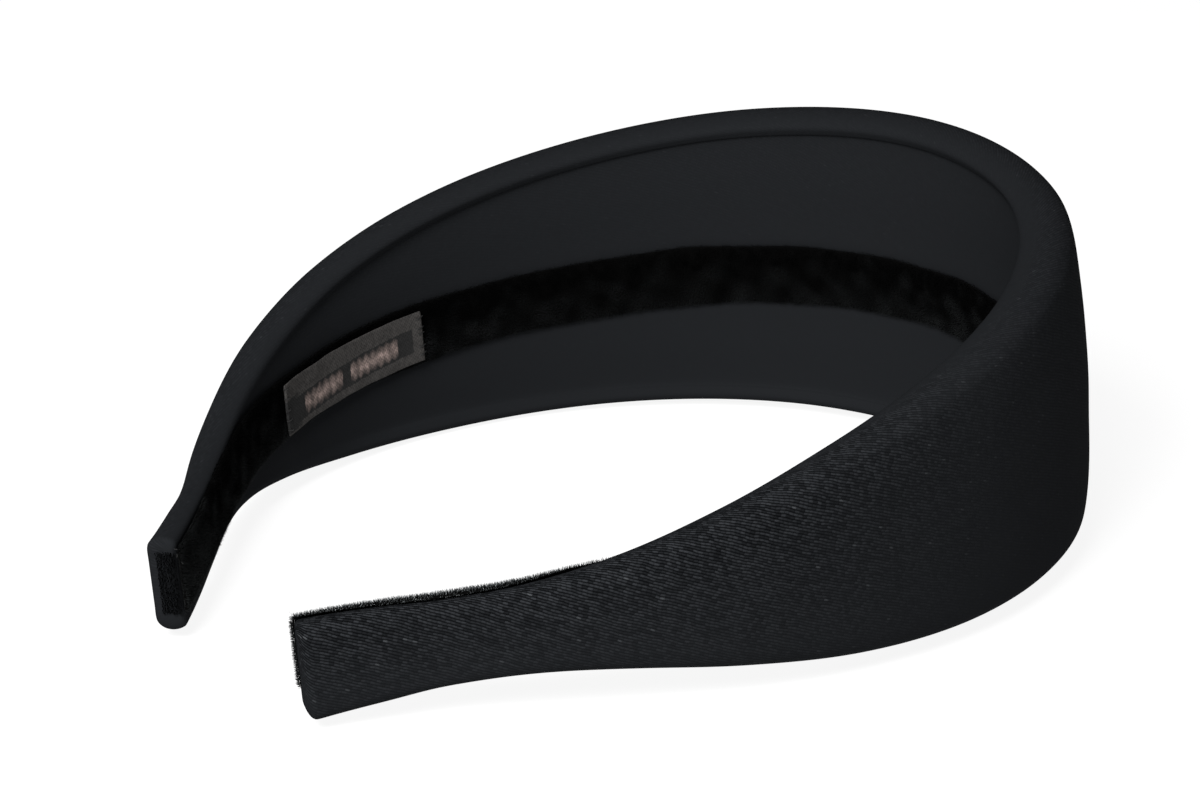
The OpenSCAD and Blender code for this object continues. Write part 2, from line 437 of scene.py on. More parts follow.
def face_outwards(piece):
    """Turns the faces of a closed mesh outwards."""
    shape = bmesh.new()
    shape.from_mesh(piece.data)
    bmesh.ops.recalc_face_normals(shape, faces=shape.faces)
    inside_out = shape.calc_volume(signed=True) < 0
    if inside_out:
        bmesh.ops.reverse_faces(shape, faces=shape.faces)
    open_edges = sum(not edge.is_manifold for edge in shape.edges)
    shape.to_mesh(piece.data)
    shape.free()
    print(piece.name, "turned:", inside_out, "open edges:", open_edges)


def new_piece(name, points, faces, maps=None):
    """A closed object from points and a list of face arrays; maps has one pair for each corner, in order."""
    corners = np.concatenate([f.ravel() for f in faces]).astype(np.int32)
    sizes = np.concatenate([np.full(len(f), f.shape[1]) for f in faces])
    mesh = bpy.data.meshes.new(name)
    mesh.vertices.add(len(points))
    mesh.vertices.foreach_set("co", np.asarray(points, np.float32).ravel())
    mesh.loops.add(len(corners))
    mesh.loops.foreach_set("vertex_index", corners)
    mesh.polygons.add(len(sizes))
    mesh.polygons.foreach_set("loop_start", (np.cumsum(sizes) - sizes).astype(np.int32))
    mesh.polygons.foreach_set("use_smooth", np.ones(len(sizes), bool))
    if maps is not None:
        mesh.uv_layers.new(name="cloth").uv.foreach_set("vector", np.asarray(maps, np.float32).ravel())
    mesh.update(calc_edges=True)
    piece = in_scene(name, mesh)
    face_outwards(piece)
    return piece


def rows_of(items, field):
    """A field of the points of a mesh, such as their places, as rows of three."""
    values = np.empty(len(items) * 3, np.float32)
    items.foreach_get(field, values)
    return values.reshape(-1, 3)


# %% [markdown]
# A map gives each point of the cloth its place on the flat cloth, in metres, so a weave that is drawn on
# the map keeps its true size on every part of the skin. One direction is the length along the middle of
# the outside. The other is the way round the section, from the middle of the outside, so that its seam
# lies where the real join does, under the ribbon.

# %% The skin of the cover
def drawn_out(grid):
    """A ring grid whose points are pushed out by as much as Subsurf draws its surface in.

    The surface passes at the mean of each point and its neighbours with shares of 1, 4 and 1 both ways.
    """
    on = (4 * grid + np.roll(grid, 1, 1) + np.roll(grid, -1, 1)) / 6
    on[1:-1] = (4 * on[1:-1] + on[:-2] + on[2:]) / 6
    return 2 * grid - on


def cloth_map(grid):
    """Lengths along the outside's middle of a ring grid and round each ring: the sums of the gaps."""
    rings, around = grid.shape[:2]
    middle_line = grid[:, around // 2]
    length = np.concatenate([[0], np.cumsum(np.linalg.norm(np.diff(middle_line, axis=0), axis=1))])
    length -= np.interp(0, ring_s, length)
    closed = np.concatenate([grid, grid[:, :1]], 1)
    way = np.linalg.norm(np.diff(closed, axis=1), axis=2)
    way = np.concatenate([np.zeros((rings, 1)), np.cumsum(way, 1)], 1)
    across = way[:, -1:] / 2 - way
    return np.stack([np.broadcast_to(length[:, None], across.shape), across], -1)


def grid_corners(maps):
    """The map's pair at each corner of the faces of ring_quads."""
    corners = [maps[:-1, :-1], maps[:-1, 1:], maps[1:, 1:], maps[1:, :-1]]
    return np.stack(corners, 2).reshape(-1, 2)


def cap_maps(faces, ring, loop, length):
    """The map over a cut end: it goes on from the outside by the distance inwards, and by z across."""
    inwards = loop[..., 0].max() - loop[..., 0]
    pairs = np.stack([length + np.sign(length) * inwards, loop[..., 1]], -1)
    return [pairs[f.ravel() - ring * len(loop)] for f in faces]


rings, around = cover_grid.shape[:2]
cover_map = cloth_map(cover_grid)
near_cap = end_cap(0, around)
far_cap = [f[:, ::-1] for f in end_cap((rings - 1) * around, around)]
cover_faces = [ring_quads(rings, around), *near_cap, *far_cap]
cover_maps = np.concatenate([
    grid_corners(cover_map),
    *cap_maps(near_cap, 0, cover_loop[0], cover_map[0, 0, 0]),
    *cap_maps(far_cap, rings - 1, cover_loop[-1], cover_map[-1, 0, 0]),
])
cover = new_piece("satin_cover", drawn_out(cover_grid).reshape(-1, 3), cover_faces, cover_maps)
print("skin:", len(cover.data.polygons), "faces")

# %% [markdown]
# The skin is sewn a little tight and the foam presses back, so real satin swells gently between the
# places that hold it, and never quite evenly. Blender's Cloth gives that. The skin is drawn in a little
# and filled by air pressure, and a spring ties every point to its place: soft and slightly uneven for the
# foam, firm on the inside, where the former lies, and rigid under the ribbon. The cloth runs on a copy
# twenty times the size, where the solver's steps suit its weight, and the change is brought back to true
# size and capped. Subsurf then makes the skin finer. Its surface lies a little inside its points, so they
# were moved out first.

# %% Swell the skin
swell_scale = 20
swell_frames = 16
swell_pressure = 4.0
swell_drawn_in = 0.08 * MM
swell_most = 0.9 * MM
foam_hold = 0.37
foam_uneven = 0.05
foam_limits = (0.25, 0.6)
foam_patch = 14 * MM
inside_hold = 0.85
end_hold = 0.9
end_rings = 3
ribbon_width = 11 * MM
ribbon_margin = 0.6 * MM
layer_gap = 0.15 * MM


def waves(x, y, size, count=24):
    """Unevenness from about -1 to 1: sine waves of about one size, in all directions and out of step."""
    way = rng.uniform(0, 2 * np.pi, (3, count))
    pitch = size * rng.uniform(0.7, 1.6, count)
    total = 0
    for turn, start, step in zip(way[0], way[1], pitch):
        total = total + np.sin((x * np.cos(turn) + y * np.sin(turn)) * 2 * np.pi / step + start)
    return total / math.sqrt(count)


def ribbon_middle(s):
    """Where the middle of the ribbon runs across the band, on either arm."""
    return ribbon_stray * np.where(np.asarray(s) < 0, along(NEAR_STRAY, s), along(FAR_STRAY, s))


def inner_roll(s):
    """What a ribbon on the rolled edge follows: where the flat ends, and the roll's half axes and mean."""
    deep, wide = band_thickness(s) / 2, roll_in * band_thickness(s)
    return band_width(s) / 2 - wide + layer_gap, deep, wide, (deep + wide) / 2


def way_across(s, n, z):
    """How far a place of the skin is from the inside's middle, over the face and round the edge."""
    face, deep, wide, mean = inner_roll(s)
    past = np.maximum(np.abs(z) - face, 0)
    round_edge = mean * np.arctan2(past / wide, np.maximum(1 - n / deep, 0))
    return np.sign(z) * (np.minimum(np.abs(z), face) + round_edge)


def swell(piece, hold):
    """Runs the cloth on a grown copy of the piece and moves its points by what that gives, up to the cap."""
    start, out = rows_of(piece.data.vertices, "co"), rows_of(piece.data.vertex_normals, "vector")
    drawn = start - out * swell_drawn_in
    grown = piece.data.copy()
    grown.vertices.foreach_set("co", (drawn * swell_scale).ravel())
    blown = in_scene("blown", grown)
    group = blown.vertex_groups.new(name="hold")
    for point, weight in enumerate(hold.tolist()):
        group.add([point], weight, "REPLACE")
    cloth = blown.modifiers.new("cloth", "CLOTH")
    cloth.settings.vertex_group_mass = group.name
    cloth.settings.use_pressure = True
    cloth.settings.uniform_pressure_force = swell_pressure
    cloth.settings.effector_weights.gravity = 0
    cloth.point_cache.frame_start = 1
    cloth.point_cache.frame_end = swell_frames
    for step in range(1, swell_frames + 1):
        bpy.context.scene.frame_set(step)
    shown = blown.evaluated_get(bpy.context.evaluated_depsgraph_get())
    change = rows_of(shown.data.vertices, "co") / swell_scale - start
    bpy.data.objects.remove(blown)
    bpy.context.scene.frame_set(1)
    far = np.linalg.norm(change, axis=1, keepdims=True)
    change *= np.minimum(1, swell_most / np.maximum(far, 1e-9))
    piece.data.vertices.foreach_set("co", (start + change).ravel())
    piece.data.update()
    outwards = (change * out).sum(1) / MM
    print("skin moved outwards by up to", round(float(outwards.max()), 2), "mm")


loop_n, loop_z = cover_loop[..., 0], cover_loop[..., 1]
own_s = np.broadcast_to(ring_s[:, None], loop_n.shape)
uneven = waves(cover_map[:, :-1, 0], cover_map[:, :-1, 1], foam_patch)
hold = np.clip(foam_hold + foam_uneven * uneven, *foam_limits)
on_inside = loop_n < band_thickness(own_s) / 2
far_from_ribbon = np.abs(way_across(own_s, loop_n, loop_z) - ribbon_middle(own_s))
hold[on_inside] = inside_hold
hold[on_inside & (far_from_ribbon < ribbon_width / 2 + ribbon_margin)] = 1
hold[:end_rings] = hold[-end_rings:] = end_hold
swell(cover, hold.ravel())

finer = cover.modifiers.new("finer", "SUBSURF")
finer.levels = finer.render_levels = 1

# %% [markdown]
# A material is a small tree of nodes. A few helpers keep the trees readable: one adds a node and plugs in
# what its sockets get, and the others are sums. Numbers that are the same all over a piece are set on the
# shader itself.

# %% Helpers for materials
def put(tree, kind, inputs=None, **settings):
    """Adds a node; inputs gives values or other nodes' sockets by the socket's name or number."""
    node = tree.nodes.new("ShaderNode" + kind)
    for name, value in settings.items():
        setattr(node, name, value)
    for key, value in (inputs or {}).items():
        if isinstance(value, bpy.types.NodeSocket):
            tree.links.new(value, node.inputs[key])
        else:
            node.inputs[key].default_value = value
    return node


def calc(tree, operation, *values):
    """One Math node: the result of an operation on values or sockets."""
    return put(tree, "Math", dict(enumerate(values)), operation=operation).outputs[0]


def vector(tree, operation, *values):
    """One Vector Math node: the vector that an operation on vectors gives."""
    return put(tree, "VectorMath", dict(enumerate(values)), operation=operation).outputs[0]


def blend(tree, share, low, high):
    """A colour between two, by a share from 0 to 1."""
    return put(tree, "Mix", {0: share, 6: low, 7: high}, data_type="RGBA").outputs[2]


def ramp(tree, value, low, high, start=0.0, end=1.0):
    """What runs evenly from start at low to end at high, and no further."""
    return put(tree, "MapRange", {0: value, 1: low, 2: high, 3: start, 4: end}).outputs[0]


def within(tree, value, low, high):
    """1 where a value lies between two others, and 0 elsewhere."""
    above = calc(tree, "GREATER_THAN", value, low)
    return calc(tree, "MULTIPLY", above, calc(tree, "LESS_THAN", value, high))


def wandering(tree, place, scale, most):
    """A place on the map, moved by soft noise so that threads and edges don't run quite straight."""
    soft = put(tree, "TexNoise", {"Vector": place, "Scale": scale, "Detail": 2.0}).outputs["Color"]
    shift = vector(tree, "SUBTRACT", soft, (0.5, 0.5, 0.5))
    return vector(tree, "MULTIPLY_ADD", shift, (most, most, 0.0), place)


def wire(tree, shader, **sockets):
    """Links sockets to the shader's inputs of the same names."""
    for key, socket in sockets.items():
        tree.links.new(socket, shader.inputs[key.replace("_", " ")])


# %% [markdown]
# Black satin shows by its sheen: its floats, the long threads that lie on top, each send back their own
# share of the light. They line up in fine slanting lines, about half a millimetre apart and at the same
# steep angle from tip to tip, because the cloth was cut along its length. A strong gloss would mirror the
# pale floor as a grey veil, so the shader's gloss is almost off and the sheen is painted into the floats'
# colour. On the map, one number counts across the lines and one along them, and each float gets its own
# brightness and a dip at its ends. The lines and their painted sheen stand out most on the upper part of
# the near arm, where the light falls from above, and a painted glint lies on a float here and there. On
# the crown, on the inside and lower down the band they are fainter: every point has a number for how
# strong the painted sheen and the relief of the lines are there.

# %% Satin
twill_count = (0.90, 1.87)
float_length = 0.8
float_start = 5.0
float_fullness = 0.4
float_dip = 0.5
satin_wander = (0.35, 0.5)
dull_glow = 0.33
more_glow = 0.8
mean_glow = 0.42
glint_from = 0.994
satin_dark = (0.0010, 0.0011, 0.0013, 1)
satin_sheen = (0.0209, 0.0224, 0.0248, 1)
satin_glint = (0.046, 0.049, 0.052, 1)
satin_rough = 0.50
satin_rougher = 0.45
satin_relief = 0.12 * MM
inside_from = 0.45
inside_over = 0.25
sheen_inside = 0.3
sheen_crown = 0.25
sheen_arm = 1.15
sheen_low = 0.15
sheen_from = 90 * MM
sheen_over = 40 * MM


def half_wave(tree, value):
    """Half a sine wave for each whole step of a value: 0 at the step's ends and 1 between them."""
    return calc(tree, "SINE", calc(tree, "MULTIPLY", calc(tree, "FRACT", value), math.pi))


def satin_threads(tree):
    """Height and brightness of the floats on the map.

    Across the lines the height is half a sine wave for each line. Along a line, floats follow each other,
    each line starting at a random place, and the height dips where one ends.
    """
    place = vector(tree, "MULTIPLY", put(tree, "UVMap", uv_map="cloth").outputs[0], (1000, 1000, 1000))
    place = wandering(tree, place, *satin_wander)
    length = math.hypot(*twill_count) * float_length
    across, lines = (
        put(tree, "VectorMath", {0: place, 1: way}, operation="DOT_PRODUCT").outputs["Value"]
        for way in ((*twill_count, 0), (twill_count[1] / length, -twill_count[0] / length, 0))
    )
    row = calc(tree, "FLOOR", across)
    start = put(tree, "TexWhiteNoise", {"W": row}, noise_dimensions="1D").outputs["Value"]
    lines = calc(tree, "ADD", lines, calc(tree, "MULTIPLY", start, float_start))
    body = calc(tree, "POWER", half_wave(tree, lines), float_fullness)
    which = put(tree, "CombineXYZ", {0: row, 1: calc(tree, "FLOOR", lines)}).outputs[0]
    bright = put(tree, "TexWhiteNoise", {"Vector": which}, noise_dimensions="2D").outputs["Value"]
    body = calc(tree, "MULTIPLY_ADD", body, float_dip, 1 - float_dip)
    height = calc(tree, "MULTIPLY", half_wave(tree, across), body)
    return height, bright


def satin():
    """Black satin: bluish black slanting floats, painted sheen and glints, a trace of gloss, roughest at
    grazing.
    """
    material, tree, shader = finish_named("black_satin", Anisotropic=0.3, Specular_IOR_Level=0.002)
    height, bright = satin_threads(tree)
    sheen_and_relief = put(tree, "Attribute", attribute_name="sheen_and_relief").outputs["Fac"]
    # The sheen is painted into the colour: lighter by each float's height and brightness, spread less where
    # the number is low.
    glow = calc(tree, "MULTIPLY", height, calc(tree, "MULTIPLY_ADD", bright, more_glow, dull_glow))
    glow = calc(tree, "MULTIPLY_ADD", calc(tree, "SUBTRACT", glow, mean_glow), sheen_and_relief, mean_glow)
    # A painted glint: on the rarest bright floats, where the painted sheen is strong, the colour turns pale
    # as a highlight would.
    glint = calc(tree, "GREATER_THAN", bright, glint_from)
    glint = calc(tree, "MULTIPLY", calc(tree, "MULTIPLY", glint, calc(tree, "POWER", height, 3.0)), sheen_and_relief)
    colour = blend(tree, glint, blend(tree, glow, satin_dark, satin_sheen), satin_glint)
    facing = put(tree, "LayerWeight", {"Blend": 0.5}).outputs["Facing"]
    rough = calc(tree, "MULTIPLY_ADD", calc(tree, "POWER", facing, 2.0), satin_rougher, satin_rough)
    relief = calc(tree, "MULTIPLY", height, sheen_and_relief)
    bump = put(tree, "Bump", {"Height": relief, "Distance": satin_relief, "Strength": 0.9}).outputs[0]
    tangent = put(tree, "Tangent", direction_type="UV_MAP", uv_map="cloth").outputs[0]
    wire(tree, shader, Base_Color=colour, Roughness=rough, Normal=bump, Tangent=tangent)
    return material


# How strong the painted sheen and the relief of the lines are at each point: weaker on the inside and the
# crown, stronger towards the near tip, and stronger towards the upper edge, where the light falls from
# above.
thick = band_thickness(own_s)
inside = np.clip((inside_from * thick - loop_n) / (inside_over * thick), 0, 1)
towards_tip = np.clip((-own_s - sheen_from) / sheen_over, 0, 1)
up_share = np.clip(loop_z / band_width(own_s) + 0.5, 0, 1)
sheen_and_relief = (1 - (1 - sheen_inside) * inside) * (sheen_crown + (sheen_arm - sheen_crown) * towards_tip)
sheen_and_relief = sheen_and_relief * (sheen_low + (1 - sheen_low) * up_share)
numbers = cover.data.attributes.new("sheen_and_relief", "FLOAT", "POINT")
numbers.data.foreach_set("value", sheen_and_relief.ravel().astype(np.float32))
cover.data.materials.append(satin())
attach(cover, "root")
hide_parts("padded_cover")
print("satin lines are", round(1 / math.hypot(*twill_count), 2), "mm apart")

# %% [markdown]
# The ribbon is a thin woven ground that lies on the inside face, held by glue, with a pile standing on
# it. Near the near tip it strays up over the rolled edge and hugs it. So a place on it is given by the
# distance s, the way across y, which goes on round the edge, and the lift over the skin. The ground comes
# first. Its outline is a flat loop: a circle would do for a cord, but here the sine of the turn gives the
# place across, and a high power of it takes the thickness away only close to the edges.

# %% The ground of the ribbon
ribbon_end = 0.4 * MM
ground_width = 10.6 * MM
ground_thick = 0.35 * MM
ground_lift = 0.27 * MM
ground_rings = 401
ground_around = 24
edge_stray = 0.12 * MM
stray_pitch = 35 * MM
width_pitch = 20 * MM


def over_face(s, y, lift):
    """A laid place over the inside face or, past the face, round the rolled edge.

    Past the face the turn a grows with the way across. The edge is the quarter of an ellipse, so its depth
    is deep (1 - cos a) and its reach wide sin a, and the lift is added along (-cos a, sin a).
    """
    s, y, lift = np.broadcast_arrays(*(np.asarray(v, float) for v in (s, y, lift)))
    face, deep, wide, mean = inner_roll(s)
    turn = np.maximum(np.abs(y) - face, 0) / mean
    n = deep * (1 - np.cos(turn)) - lift * np.cos(turn)
    return laid(s, n, np.sign(y) * (np.minimum(np.abs(y), face) + (wide + lift) * np.sin(turn)))


def flat_loop(around):
    """A flat loop with round edges as pairs (depth, across), each from -1 to 1.

    It starts at the middle of the inside. Across is the sine of the turn, and depth the root of one less
    its twelfth power, with a minus on the inside half.
    """
    turn = np.arange(around) / around * 2 * np.pi
    across = np.sin(turn)
    side = np.where(np.abs(turn - np.pi) < np.pi / 2, 1, -1)
    return side * np.sqrt(np.maximum(1 - across**12, 0)), across


def strip_piece(name, s, y, lift):
    """A closed strip from arrays of s, y and lift, one row for each ring, mapped with s and y."""
    rings, around = y.shape
    points = over_face(s, y, lift).reshape(-1, 3)
    caps = [*end_cap(0, around), *(f[:, ::-1] for f in end_cap((rings - 1) * around, around))]
    maps = np.stack(np.broadcast_arrays(s, y), -1)
    cap_pairs = [maps.reshape(-1, 2)[f.ravel()] for f in caps]
    pairs = np.concatenate([grid_corners(np.concatenate([maps, maps[:, :1]], 1)), *cap_pairs])
    return new_piece(name, points, [ring_quads(rings, around), *caps], pairs)


ground_s = np.linspace(-1, 1, ground_rings) * (arm_length - ribbon_end)
depth, across = flat_loop(ground_around)
stray = edge_stray * waves(ground_s, 0 * ground_s, stray_pitch)
wide = ground_width / 2 + edge_stray * waves(ground_s, 0 * ground_s, width_pitch)
ground_y = (ribbon_middle(ground_s) + stray)[:, None] + wide[:, None] * across
surface_lift = ground_lift - depth * ground_thick / 2
ground = strip_piece("velvet_ground", ground_s[:, None], ground_y, surface_lift)

# %% [markdown]
# A pile can't be drawn as a flat picture here, because its edge stands against the white floor. It is
# grown instead: one closed three-sided blade for each tuft, rooted in rows on the ground with a little
# disorder. Blades lean together in patches a few millimetres wide, as a thumb leaves them, and those at
# the edges lean outwards and are rooted lower, so that they hide the ground's side. At the two tips the
# ribbon is folded over the cut end, so blades stand there too. No blade stands where the label will lie.
# The map of a blade isn't a place: it holds the height, 0 at the root and 1 at the tip, and a number that
# says how light the tip is, with light and shade painted in. That is low near the ribbon's upper edge, a
# painted shade, and highest where the near arm's ribbon runs over the rolled edge and catches the light,
# a painted highlight.

# %% The pile of the ribbon
pile_gap = 0.21 * MM
pile_long = 0.68 * MM
pile_spread = (0.8, 1.1)
pile_half = 0.075 * MM
pile_end = arm_length - ribbon_end
pile_beyond = 0.2 * MM
pile_root = 0.40 * MM
row_scatter = 0.45
edge_reach = 0.10 * MM
edge_drop = 0.27 * MM
edge_from = 0.93
edge_over = 0.05
edge_lean = 1.2
own_lean = 0.22
patch_lean = 0.35
patch_lean_across = 0.30
lean_patch = 3 * MM
sheen_patch_size = 5 * MM
small_step = 0.1 * MM
label_long = 38.5 * MM
label_wide = 9.2 * MM
label_from = arm_length - 65 * MM
label_tuck = 0.3 * MM
side_tuck = 0.4 * MM

# How light the tips are, with light and shade painted in: in the middle, less towards the upper edge (a
# painted shade), by patches and towards the far tip (a painted sheen), at most, where the near arm's ribbon
# runs over the rolled edge (a painted highlight), at the near end, and on the few blades with a painted
# glint
middle_light = 0.8
upper_shade = 1.7
patch_sheen = 0.9
far_sheen = 2.5
most_light = 4.5
roll_highlight = 12
roll_highlight_spread = (0.0, 2.0)
end_light = 3.5
end_share = 0.8
end_spread = (0.1, 1.9)
glint_light = 60.0
glint_share = 0.08
roll_highlight_width = 1.2 * MM
far_sheen_from = 175.5 * MM
far_sheen_over = 15 * MM


def cloth_axes(s, y, lift):
    """Directions along the ribbon, away from it and across it: small steps of each number, made one long."""
    here = over_face(s, y, lift)
    moved = ((s + small_step, y, lift), (s, y, lift + small_step), (s, y + small_step, lift))
    return [unit(over_face(*place) - here) for place in moved]


def ribbon_tufts(s_low, s_high):
    """Roots, axes, leans and lightness of the blades on one stretch of the ribbon.

    Each blade has a place s along the ribbon and v across it, from -1 to 1, near the middle of its cell.
    """
    rows, count = int((s_high - s_low) / pile_gap), int(ground_width / pile_gap)
    s, v = np.meshgrid(np.arange(rows) + 0.5, np.arange(count) + 0.5, indexing="ij")
    s = (s_low + (s + rng.uniform(-row_scatter, row_scatter, s.shape)) * pile_gap).ravel()
    v = ((v + rng.uniform(-row_scatter, row_scatter, v.shape)) / count * 2 - 1).ravel()
    off = np.interp(s, ground_s, stray) + v * (np.interp(s, ground_s, wide) + edge_reach)
    beside_end = (s > label_from - label_tuck) | (s < label_from - label_long + label_tuck)
    free = beside_end | (np.abs(off) > label_wide / 2 - side_tuck)
    s, v, y = s[free], v[free], (ribbon_middle(s) + off)[free]
    beyond = np.clip((np.abs(s) - pile_end) / pile_beyond + 1, 0, 1)
    lean_s = patch_lean * waves(s, y, lean_patch) + rng.normal(0, own_lean, len(s))
    lean_s = lean_s + edge_lean * np.sign(s) * beyond
    lean_y = patch_lean_across * waves(s, y, lean_patch) + rng.normal(0, own_lean, len(s)) + edge_lean * v**7
    # Tips are darker towards the upper edge, a painted shade, and lighter by patches and towards the far
    # tip, a painted sheen.
    light = middle_light - upper_shade * v + patch_sheen * waves(s, y, sheen_patch_size)
    light = light + far_sheen * np.clip((s - far_sheen_from) / far_sheen_over, 0, 1)
    # Where the near arm's ribbon runs over the rolled edge the tips are painted lighter, a painted
    # highlight, and a few carry a painted glint.
    on_lit_roll = np.clip((y - inner_roll(s)[0]) / roll_highlight_width, 0, 1) * (s < 0)
    light = np.clip(light, 0, most_light) + roll_highlight * on_lit_roll * rng.uniform(*roll_highlight_spread, len(s))
    light = np.where(rng.uniform(0, 1, len(s)) < glint_share * on_lit_roll, glint_light, light)
    light = light + end_share * end_light * beyond * (s < 0) * rng.uniform(*end_spread, len(s))
    lift = pile_root - edge_drop * np.maximum(np.clip((np.abs(v) - edge_from) / edge_over, 0, 1), beyond)
    return over_face(s, y, lift), cloth_axes(s, y, lift), np.stack([lean_s, lean_y], 1), light


# %% The pile over the cut ends
half_tip = 5.2 * MM
near_fold = (0.3 * MM, 1.6 * MM)
far_fold = (0.3 * MM, 3.3 * MM)
# The far cut end's blades stay nearly black: a painted shade.
far_end_shaded = 0.1
tip_shift = 0.6
tip_root = 0.1 * MM
tip_scatter = 0.4
tip_lean = 0.3
tip_own_lean = 0.25
tip_patch_lean = 0.25


def tip_tufts(side):
    """The same four for the blades on the cut end of one arm, where the ribbon is folded over it."""
    across = np.arange(-half_tip, half_tip, pile_gap) + 0.5 * pile_gap
    fold = far_fold if side > 0 else near_fold
    n, z = np.meshgrid(np.arange(*fold, pile_gap), across, indexing="ij")
    n, z = (v.ravel() + rng.uniform(-tip_scatter, tip_scatter, v.size) * pile_gap for v in (n, z))
    z = z + ribbon_middle(side * arm_length) * tip_shift
    s = np.full(len(n), side * (arm_length - tip_root))
    here = laid(s, n, z)
    inwards = unit(here - laid(s, n + small_step, z))
    away = unit(laid(s + side * small_step, n, z) - here)
    up = np.broadcast_to(lean.T[2], here.shape)
    leans = rng.normal(0, tip_own_lean, (len(s), 2))
    leans = leans + np.stack([tip_lean + 0 * s, tip_patch_lean * waves(n, z, lean_patch)], 1)
    light = (end_light if side < 0 else far_end_shaded) * rng.uniform(*end_spread, len(s))
    return here, [inwards, away, up], leans, light


def pile(name, *groups):
    """One object of leaning blades from groups of roots, axes, leans and lightness."""
    root = np.concatenate([g[0] for g in groups])
    length, away, up = (np.concatenate([g[1][k] for g in groups]) for k in range(3))
    leans = np.concatenate([g[2] for g in groups])
    way = away + leans[:, :1] * length + leans[:, 1:] * up
    way *= (pile_long * rng.uniform(*pile_spread, len(root)) / np.linalg.norm(way, axis=1))[:, None]
    turn = rng.uniform(0, 2 * np.pi, (len(root), 1)) + np.arange(3) * 2 * np.pi / 3
    ring = np.cos(turn)[..., None] * length[:, None] + np.sin(turn)[..., None] * up[:, None]
    points = np.concatenate([root[:, None] + pile_half * ring, (root + way)[:, None]], 1).reshape(-1, 3)
    shape = np.array([[0, 1, 3], [1, 2, 3], [2, 0, 3], [0, 2, 1]])
    faces = (np.arange(len(root))[:, None, None] * 4 + shape).reshape(-1, 3)
    light = np.repeat(np.concatenate([g[3] for g in groups]), 12)
    height = np.tile((shape.ravel() == 3).astype(float), len(root))
    print(name, "has", len(root), "blades")
    return new_piece(name, points, [faces], np.stack([light, height], -1))


near_pile = pile("velvet_pile_near", ribbon_tufts(-pile_end - pile_beyond, 0), tip_tufts(-1))
far_pile = pile("velvet_pile_far", ribbon_tufts(0, pile_end + pile_beyond), tip_tufts(1))

# %% Velvet
velvet_dark = 0.0015
velvet_lighter = 0.0125
velvet_rise = 0.6
velvet_pale = (0.38, 0.41, 0.42, 1)


def velvet():
    """Black velvet: dark roots as painted shade, tips by their blade's number, now and then a painted glint.
    """
    material, tree, shader = finish_named("black_velvet", Roughness=0.6, Specular_IOR_Level=0.02)
    parts = put(tree, "SeparateXYZ", {0: put(tree, "UVMap", uv_map="cloth").outputs[0]})
    # Towards the root every blade falls to the dark, a painted shade; its tip is as light as its number
    # says.
    share = calc(tree, "MULTIPLY", calc(tree, "POWER", parts.outputs[1], velvet_rise), parts.outputs[0])
    share = calc(tree, "MULTIPLY_ADD", share, velvet_lighter, velvet_dark)
    wire(tree, shader, Base_Color=blend(tree, share, (0, 0, 0, 1), velvet_pale))
    return material


velvet_black = velvet()
for piece in (near_pile, far_pile):
    piece.data.materials.append(velvet_black)
ground_look = dict(Roughness=0.9, Specular_IOR_Level=0.02, Base_Color=grey(velvet_dark))
ground.data.materials.append(finish_named("ribbon_ground", **ground_look)[0])

# %% [markdown]
# The label is a stiff woven tape, held only at its two short ends, where it is folded under. So it is
# thicker at those ends, dips there, and bows and puckers a little between them. Its picture is woven: a
# pale ground, a dark panel, and two runs of small dusty lozenges, all drawn on the map.

# %% The label
label_rings = 151
label_around = 48
label_thick = 0.22 * MM
label_fold = 1.4 * MM
label_fold_thick = 0.16 * MM
label_lift = 1.28 * MM
label_bow = 0.16 * MM
label_pucker = 0.05 * MM
pucker_pitch = 6 * MM
label_uneven = 0.012
label_uneven_pitch = 9 * MM

label_u = np.linspace(0, label_long, label_rings)
depth, across = flat_loop(label_around)
at_fold = np.exp(-((np.minimum(label_u, label_long - label_u) / label_fold) ** 4))
half_width = label_wide / 2 * across[None, :]
label_v = half_width * (1 + label_uneven * waves(label_u, 0 * label_u, label_uneven_pitch))[:, None]
pucker = label_pucker * waves(label_u[:, None] + 0 * label_v, label_v, pucker_pitch)
bow = label_bow * np.sin(np.pi * label_u / label_long)[:, None]
half_thick = (label_thick + label_fold_thick * at_fold)[:, None] / 2
label_s = (label_from - label_u)[:, None]
surface_lift = label_lift + bow + pucker - depth * half_thick
label = strip_piece("woven_label", label_s, ribbon_middle(label_s) + label_v, surface_lift)

# %% The label's weave
# Sizes in mm: u runs from the end beside the far tip, and v across from a little below the middle
middle_drop = 0.8
panel_ends = (3.0, 36.2)
panel_half = 2.2
# The end beside the far tip is darker as well, over most of the width, fading out from 3 to 5.5 mm in.
dark_end = (5.5, 3.0)
dark_end_half = 2.9
runs_at = ((6.2, 18.0, 6), (20.2, 32.6, 7))
run_half = 1.7
lozenge_full = 1.25
lozenge_narrow = 0.35
lozenge_soft = 1.1
rib_gap = 0.7
rib_relief = 0.05 * MM
rib_shade = 0.2
label_wander = (1.3, 0.6)
worn_scale = 0.55
worn_range = (0.3, 0.65, 0.4, 0.95)
patch_scale = 1.1
patch_range = (0.35, 0.65, 0.5, 0.8)
label_pale = (0.052, 0.049, 0.047, 1)
label_dark = (0.022, 0.022, 0.022, 1)
label_dusty = (0.380, 0.290, 0.262, 1)
label_shadow = (0.01, 0.01, 0.01, 1)


